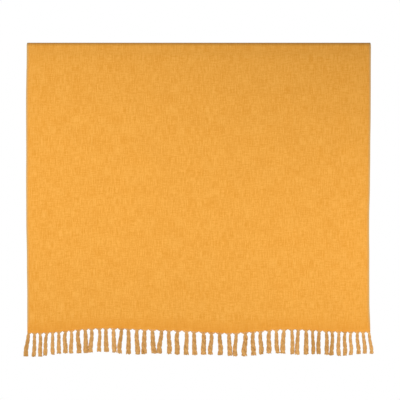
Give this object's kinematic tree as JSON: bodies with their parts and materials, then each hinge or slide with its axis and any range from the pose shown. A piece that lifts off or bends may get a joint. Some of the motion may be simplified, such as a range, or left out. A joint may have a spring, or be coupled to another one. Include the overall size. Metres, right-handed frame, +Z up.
{
  "type": "throw blanket",
  "caption": "Woven throw hanging folded over a rod, with hemmed sides, a long front drop, a short back drop and a fringe of twisted tassels at each end.",
  "frame": {"origin": "on the axis of the rod that the throw hangs over, midway along the throw", "axes": "+X along the rod, to the right as seen from the front; -Y towards the front, where the long drop hangs; +Z up"},
  "size_m": [1.2918, 0.0512, 1.1607],
  "materials": {
    "cloth": "slub plain weave, matt",
    "hem": "slub plain weave turned under and stitched, matt",
    "tassel_yarn": "twisted cotton yarn with cut ends, matt"
  },
  "bodies": {
    "fold": {"fold_over_rod": "cloth", "fold_left_hem": "hem", "fold_right_hem": "hem"},
    "front_drop": {"front_panel": "cloth", "front_left_hem": "hem", "front_right_hem": "hem", "front_heading": "hem"},
    "back_drop": {"back_panel": "cloth", "back_left_hem": "hem", "back_right_hem": "hem", "back_heading": "hem"},
    "back_fringe": {"back_fringe": "tassel_yarn"},
    "front_tassel_01": {"front_tassel_01": "tassel_yarn"},
    "front_tassel_02": {"front_tassel_02": "tassel_yarn"},
    "front_tassel_03": {"front_tassel_03": "tassel_yarn"},
    "front_tassel_04": {"front_tassel_04": "tassel_yarn"},
    "front_tassel_05": {"front_tassel_05": "tassel_yarn"},
    "front_tassel_06": {"front_tassel_06": "tassel_yarn"},
    "front_tassel_07": {"front_tassel_07": "tassel_yarn"},
    "front_tassel_08": {"front_tassel_08": "tassel_yarn"},
    "front_tassel_09": {"front_tassel_09": "tassel_yarn"},
    "front_tassel_10": {"front_tassel_10": "tassel_yarn"},
    "front_tassel_11": {"front_tassel_11": "tassel_yarn"},
    "front_tassel_12": {"front_tassel_12": "tassel_yarn"},
    "front_tassel_13": {"front_tassel_13": "tassel_yarn"},
    "front_tassel_14": {"front_tassel_14": "tassel_yarn"},
    "front_tassel_15": {"front_tassel_15": "tassel_yarn"},
    "front_tassel_16": {"front_tassel_16": "tassel_yarn"},
    "front_tassel_17": {"front_tassel_17": "tassel_yarn"},
    "front_tassel_18": {"front_tassel_18": "tassel_yarn"},
    "front_tassel_19": {"front_tassel_19": "tassel_yarn"},
    "front_tassel_20": {"front_tassel_20": "tassel_yarn"},
    "front_tassel_21": {"front_tassel_21": "tassel_yarn"},
    "front_tassel_22": {"front_tassel_22": "tassel_yarn"},
    "front_tassel_23": {"front_tassel_23": "tassel_yarn"},
    "front_tassel_24": {"front_tassel_24": "tassel_yarn"},
    "front_tassel_25": {"front_tassel_25": "tassel_yarn"},
    "front_tassel_26": {"front_tassel_26": "tassel_yarn"},
    "front_tassel_27": {"front_tassel_27": "tassel_yarn"},
    "front_tassel_28": {"front_tassel_28": "tassel_yarn"},
    "front_tassel_29": {"front_tassel_29": "tassel_yarn"},
    "front_tassel_30": {"front_tassel_30": "tassel_yarn"},
    "front_tassel_31": {"front_tassel_31": "tassel_yarn"},
    "front_tassel_32": {"front_tassel_32": "tassel_yarn"},
    "front_tassel_33": {"front_tassel_33": "tassel_yarn"},
    "front_tassel_34": {"front_tassel_34": "tassel_yarn"},
    "front_tassel_35": {"front_tassel_35": "tassel_yarn"},
    "front_tassel_36": {"front_tassel_36": "tassel_yarn"},
    "front_tassel_37": {"front_tassel_37": "tassel_yarn"},
    "front_tassel_38": {"front_tassel_38": "tassel_yarn"},
    "front_tassel_39": {"front_tassel_39": "tassel_yarn"},
    "front_tassel_40": {"front_tassel_40": "tassel_yarn"},
    "front_tassel_41": {"front_tassel_41": "tassel_yarn"},
    "front_tassel_42": {"front_tassel_42": "tassel_yarn"},
    "front_tassel_43": {"front_tassel_43": "tassel_yarn"},
    "front_tassel_44": {"front_tassel_44": "tassel_yarn"},
    "front_tassel_45": {"front_tassel_45": "tassel_yarn"},
    "front_tassel_46": {"front_tassel_46": "tassel_yarn"},
    "front_tassel_47": {"front_tassel_47": "tassel_yarn"},
    "front_tassel_48": {"front_tassel_48": "tassel_yarn"}
  },
  "joints": [
    {"name": "front_drop_lift", "type": "hinge", "parent": "fold", "child": "front_drop", "pos_m": [0, -0.0174, 0], "axis": [-1, 0, 0], "range_deg": [0, 90]},
    {"name": "back_drop_lift", "type": "hinge", "parent": "fold", "child": "back_drop", "pos_m": [0, 0.0174, 0], "axis": [1, 0, 0], "range_deg": [0, 90]},
    {"name": "back_fringe_swing", "type": "hinge", "parent": "back_drop", "child": "back_fringe", "pos_m": [0, 0.0159, -0.43098], "axis": [1, 0, 0], "range_deg": [-10, 90]},
    {"name": "front_tassel_01_swing", "type": "hinge", "parent": "front_drop", "child": "front_tassel_01", "pos_m": [-0.6288, -0.0159, -1.06206], "axis": [-1, 0, 0], "range_deg": [-90, 90]},
    {"name": "front_tassel_02_swing", "type": "hinge", "parent": "front_drop", "child": "front_tassel_02", "pos_m": [-0.60583, -0.0159, -1.06263], "axis": [-1, 0, 0], "range_deg": [-90, 90]},
    {"name": "front_tassel_03_swing", "type": "hinge", "parent": "front_drop", "child": "front_tassel_03", "pos_m": [-0.58539, -0.0159, -1.06255], "axis": [-1, 0, 0], "range_deg": [-90, 90]},
    {"name": "front_tassel_04_swing", "type": "hinge", "parent": "front_drop", "child": "front_tassel_04", "pos_m": [-0.5609, -0.0159, -1.06169], "axis": [-1, 0, 0], "range_deg": [-90, 90]},
    {"name": "front_tassel_05_swing", "type": "hinge", "parent": "front_drop", "child": "front_tassel_05", "pos_m": [-0.53932, -0.0159, -1.06031], "axis": [-1, 0, 0], "range_deg": [-90, 90]},
    {"name": "front_tassel_06_swing", "type": "hinge", "parent": "front_drop", "child": "front_tassel_06", "pos_m": [-0.51676, -0.0159, -1.05835], "axis": [-1, 0, 0], "range_deg": [-90, 90]},
    {"name": "front_tassel_07_swing", "type": "hinge", "parent": "front_drop", "child": "front_tassel_07", "pos_m": [-0.49148, -0.0159, -1.05576], "axis": [-1, 0, 0], "range_deg": [-90, 90]},
    {"name": "front_tassel_08_swing", "type": "hinge", "parent": "front_drop", "child": "front_tassel_08", "pos_m": [-0.47008, -0.0159, -1.05344], "axis": [-1, 0, 0], "range_deg": [-90, 90]},
    {"name": "front_tassel_09_swing", "type": "hinge", "parent": "front_drop", "child": "front_tassel_09", "pos_m": [-0.4441, -0.0159, -1.05075], "axis": [-1, 0, 0], "range_deg": [-90, 90]},
    {"name": "front_tassel_10_swing", "type": "hinge", "parent": "front_drop", "child": "front_tassel_10", "pos_m": [-0.41918, -0.0159, -1.04854], "axis": [-1, 0, 0], "range_deg": [-90, 90]},
    {"name": "front_tassel_11_swing", "type": "hinge", "parent": "front_drop", "child": "front_tassel_11", "pos_m": [-0.39573, -0.0159, -1.04697], "axis": [-1, 0, 0], "range_deg": [-90, 90]},
    {"name": "front_tassel_12_swing", "type": "hinge", "parent": "front_drop", "child": "front_tassel_12", "pos_m": [-0.36677, -0.0159, -1.04581], "axis": [-1, 0, 0], "range_deg": [-90, 90]},
    {"name": "front_tassel_13_swing", "type": "hinge", "parent": "front_drop", "child": "front_tassel_13", "pos_m": [-0.34258, -0.0159, -1.0455], "axis": [-1, 0, 0], "range_deg": [-90, 90]},
    {"name": "front_tassel_14_swing", "type": "hinge", "parent": "front_drop", "child": "front_tassel_14", "pos_m": [-0.31489, -0.0159, -1.04578], "axis": [-1, 0, 0], "range_deg": [-90, 90]},
    {"name": "front_tassel_15_swing", "type": "hinge", "parent": "front_drop", "child": "front_tassel_15", "pos_m": [-0.28517, -0.0159, -1.04662], "axis": [-1, 0, 0], "range_deg": [-90, 90]},
    {"name": "front_tassel_16_swing", "type": "hinge", "parent": "front_drop", "child": "front_tassel_16", "pos_m": [-0.26024, -0.0159, -1.04753], "axis": [-1, 0, 0], "range_deg": [-90, 90]},
    {"name": "front_tassel_17_swing", "type": "hinge", "parent": "front_drop", "child": "front_tassel_17", "pos_m": [-0.22805, -0.0159, -1.04874], "axis": [-1, 0, 0], "range_deg": [-90, 90]},
    {"name": "front_tassel_18_swing", "type": "hinge", "parent": "front_drop", "child": "front_tassel_18", "pos_m": [-0.19983, -0.0159, -1.04971], "axis": [-1, 0, 0], "range_deg": [-90, 90]},
    {"name": "front_tassel_19_swing", "type": "hinge", "parent": "front_drop", "child": "front_tassel_19", "pos_m": [-0.1715, -0.0159, -1.05055], "axis": [-1, 0, 0], "range_deg": [-90, 90]},
    {"name": "front_tassel_20_swing", "type": "hinge", "parent": "front_drop", "child": "front_tassel_20", "pos_m": [-0.13747, -0.0159, -1.05151], "axis": [-1, 0, 0], "range_deg": [-90, 90]},
    {"name": "front_tassel_21_swing", "type": "hinge", "parent": "front_drop", "child": "front_tassel_21", "pos_m": [-0.11072, -0.0159, -1.05238], "axis": [-1, 0, 0], "range_deg": [-90, 90]},
    {"name": "front_tassel_22_swing", "type": "hinge", "parent": "front_drop", "child": "front_tassel_22", "pos_m": [-0.07774, -0.0159, -1.05379], "axis": [-1, 0, 0], "range_deg": [-90, 90]},
    {"name": "front_tassel_23_swing", "type": "hinge", "parent": "front_drop", "child": "front_tassel_23", "pos_m": [-0.04561, -0.0159, -1.05561], "axis": [-1, 0, 0], "range_deg": [-90, 90]},
    {"name": "front_tassel_24_swing", "type": "hinge", "parent": "front_drop", "child": "front_tassel_24", "pos_m": [-0.0179, -0.0159, -1.05751], "axis": [-1, 0, 0], "range_deg": [-90, 90]},
    {"name": "front_tassel_25_swing", "type": "hinge", "parent": "front_drop", "child": "front_tassel_25", "pos_m": [0.01766, -0.0159, -1.06011], "axis": [-1, 0, 0], "range_deg": [-90, 90]},
    {"name": "front_tassel_26_swing", "type": "hinge", "parent": "front_drop", "child": "front_tassel_26", "pos_m": [0.04621, -0.0159, -1.06199], "axis": [-1, 0, 0], "range_deg": [-90, 90]},
    {"name": "front_tassel_27_swing", "type": "hinge", "parent": "front_drop", "child": "front_tassel_27", "pos_m": [0.07711, -0.0159, -1.06341], "axis": [-1, 0, 0], "range_deg": [-90, 90]},
    {"name": "front_tassel_28_swing", "type": "hinge", "parent": "front_drop", "child": "front_tassel_28", "pos_m": [0.11106, -0.0159, -1.06384], "axis": [-1, 0, 0], "range_deg": [-90, 90]},
    {"name": "front_tassel_29_swing", "type": "hinge", "parent": "front_drop", "child": "front_tassel_29", "pos_m": [0.13759, -0.0159, -1.06319], "axis": [-1, 0, 0], "range_deg": [-90, 90]},
    {"name": "front_tassel_30_swing", "type": "hinge", "parent": "front_drop", "child": "front_tassel_30", "pos_m": [0.171, -0.0159, -1.06118], "axis": [-1, 0, 0], "range_deg": [-90, 90]},
    {"name": "front_tassel_31_swing", "type": "hinge", "parent": "front_drop", "child": "front_tassel_31", "pos_m": [0.20043, -0.0159, -1.05856], "axis": [-1, 0, 0], "range_deg": [-90, 90]},
    {"name": "front_tassel_32_swing", "type": "hinge", "parent": "front_drop", "child": "front_tassel_32", "pos_m": [0.22767, -0.0159, -1.05579], "axis": [-1, 0, 0], "range_deg": [-90, 90]},
    {"name": "front_tassel_33_swing", "type": "hinge", "parent": "front_drop", "child": "front_tassel_33", "pos_m": [0.26022, -0.0159, -1.05258], "axis": [-1, 0, 0], "range_deg": [-90, 90]},
    {"name": "front_tassel_34_swing", "type": "hinge", "parent": "front_drop", "child": "front_tassel_34", "pos_m": [0.28554, -0.0159, -1.05054], "axis": [-1, 0, 0], "range_deg": [-90, 90]},
    {"name": "front_tassel_35_swing", "type": "hinge", "parent": "front_drop", "child": "front_tassel_35", "pos_m": [0.31437, -0.0159, -1.04904], "axis": [-1, 0, 0], "range_deg": [-90, 90]},
    {"name": "front_tassel_36_swing", "type": "hinge", "parent": "front_drop", "child": "front_tassel_36", "pos_m": [0.34297, -0.0159, -1.04857], "axis": [-1, 0, 0], "range_deg": [-90, 90]},
    {"name": "front_tassel_37_swing", "type": "hinge", "parent": "front_drop", "child": "front_tassel_37", "pos_m": [0.36669, -0.0159, -1.04897], "axis": [-1, 0, 0], "range_deg": [-90, 90]},
    {"name": "front_tassel_38_swing", "type": "hinge", "parent": "front_drop", "child": "front_tassel_38", "pos_m": [0.39548, -0.0159, -1.05025], "axis": [-1, 0, 0], "range_deg": [-90, 90]},
    {"name": "front_tassel_39_swing", "type": "hinge", "parent": "front_drop", "child": "front_tassel_39", "pos_m": [0.41959, -0.0159, -1.05179], "axis": [-1, 0, 0], "range_deg": [-90, 90]},
    {"name": "front_tassel_40_swing", "type": "hinge", "parent": "front_drop", "child": "front_tassel_40", "pos_m": [0.44374, -0.0159, -1.05354], "axis": [-1, 0, 0], "range_deg": [-90, 90]},
    {"name": "front_tassel_41_swing", "type": "hinge", "parent": "front_drop", "child": "front_tassel_41", "pos_m": [0.47021, -0.0159, -1.05542], "axis": [-1, 0, 0], "range_deg": [-90, 90]},
    {"name": "front_tassel_42_swing", "type": "hinge", "parent": "front_drop", "child": "front_tassel_42", "pos_m": [0.49163, -0.0159, -1.05675], "axis": [-1, 0, 0], "range_deg": [-90, 90]},
    {"name": "front_tassel_43_swing", "type": "hinge", "parent": "front_drop", "child": "front_tassel_43", "pos_m": [0.51643, -0.0159, -1.05793], "axis": [-1, 0, 0], "range_deg": [-90, 90]},
    {"name": "front_tassel_44_swing", "type": "hinge", "parent": "front_drop", "child": "front_tassel_44", "pos_m": [0.53964, -0.0159, -1.05862], "axis": [-1, 0, 0], "range_deg": [-90, 90]},
    {"name": "front_tassel_45_swing", "type": "hinge", "parent": "front_drop", "child": "front_tassel_45", "pos_m": [0.56074, -0.0159, -1.05892], "axis": [-1, 0, 0], "range_deg": [-90, 90]},
    {"name": "front_tassel_46_swing", "type": "hinge", "parent": "front_drop", "child": "front_tassel_46", "pos_m": [0.58532, -0.0159, -1.0589], "axis": [-1, 0, 0], "range_deg": [-90, 90]},
    {"name": "front_tassel_47_swing", "type": "hinge", "parent": "front_drop", "child": "front_tassel_47", "pos_m": [0.60609, -0.0159, -1.05867], "axis": [-1, 0, 0], "range_deg": [-90, 90]},
    {"name": "front_tassel_48_swing", "type": "hinge", "parent": "front_drop", "child": "front_tassel_48", "pos_m": [0.6288, -0.0159, -1.0583], "axis": [-1, 0, 0], "range_deg": [-90, 90]}
  ]
}
